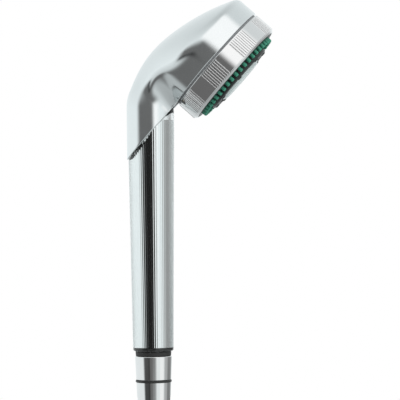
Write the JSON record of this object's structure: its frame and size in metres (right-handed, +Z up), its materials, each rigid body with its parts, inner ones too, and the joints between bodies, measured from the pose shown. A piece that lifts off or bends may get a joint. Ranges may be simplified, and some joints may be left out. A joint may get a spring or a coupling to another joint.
{
  "type": "handheld shower head",
  "caption": "Handheld shower head with a chromed hood, turning spray selector ring, green spray nozzles, clear fluted handle and swivel hose connector.",
  "frame": {"origin": "centre of the open end of the hose thread, on the handle axis", "axes": "+Z up along the handle, +X towards the side the head sprays to, Y across the plane of symmetry"},
  "size_m": [0.0961, 0.0778, 0.2759],
  "materials": {
    "hood_chrome": "satin chrome plate on ABS",
    "ring_chrome": "bright chrome plate on ABS",
    "core_chrome": "bright chrome plate on ABS",
    "brass_chrome": "polished chrome plate on brass",
    "clear_acrylic": "polished clear acrylic",
    "black_abs": "fine matte",
    "grey_abs": "moulded",
    "cap_grey": "satin",
    "nozzle_green": "soft moulded elastomer",
    "black_rubber": "moulded",
    "black_pom": "turned",
    "white_pom": "moulded",
    "brass": "turned",
    "steel": "bright"
  },
  "bodies": {
    "grip": {"head_shell": "hood_chrome", "engine_base": "grey_abs", "waterway_back": "grey_abs", "waterway_screws": "steel", "water_elbow": "white_pom", "elbow_o_ring": "black_rubber", "elbow_coupling": "brass", "gasket": "black_rubber", "port_seals": "black_rubber", "centre_washer": "steel", "centre_screw": "steel", "handle_sleeve": "clear_acrylic", "fluted_core": "core_chrome", "neck_plug": "black_abs", "water_tube": "white_pom", "end_ring": "black_rubber", "core_o_rings": "black_rubber", "inlet_nipple": "brass", "check_valve_body": "white_pom", "check_spring": "steel", "sieve": "steel", "flow_limiter": "white_pom", "limiter_o_ring": "black_rubber", "cone_nut": "brass_chrome", "swivel_bush": "black_pom"},
    "selector": {"selector_ring": "ring_chrome", "face_carrier": "black_abs", "carrier_seal": "black_rubber", "face_plate": "black_abs", "nozzle_mat": "nozzle_green", "massage_ring": "black_abs", "centre_cap": "cap_grey", "turbine_cover": "grey_abs", "face_screws": "steel"},
    "turbine": {"turbine_wheel": "white_pom"},
    "valve": {"check_poppet": "white_pom"},
    "swivel": {"slide_ring": "black_pom", "swivel_collar": "brass_chrome", "swivel_spindle": "brass_chrome", "spindle_o_ring": "black_rubber", "snap_ring": "steel"}
  },
  "joints": [
    {"name": "selector_turn", "type": "hinge", "parent": "grip", "child": "selector", "pos_m": [0.04335, 0, 0.2377], "axis": [0.7443, 0, -0.6678], "range_deg": [0, 80]},
    {"name": "turbine_spin", "type": "hinge", "parent": "selector", "child": "turbine", "pos_m": [0.04335, 0, 0.2377], "axis": [0.7443, 0, -0.6678], "continuous": true},
    {"name": "valve_lift", "type": "slide", "parent": "grip", "child": "valve", "axis": [0, 0, 1], "range_m": [0, 0.002], "stiffness_N_per_m": 60, "springref_m": -0.004, "deforming": ["check_spring"]},
    {"name": "hose_swivel", "type": "hinge", "parent": "grip", "child": "swivel", "pos_m": [0, 0, 0.031], "axis": [0, 0, 1], "continuous": true}
  ]
}
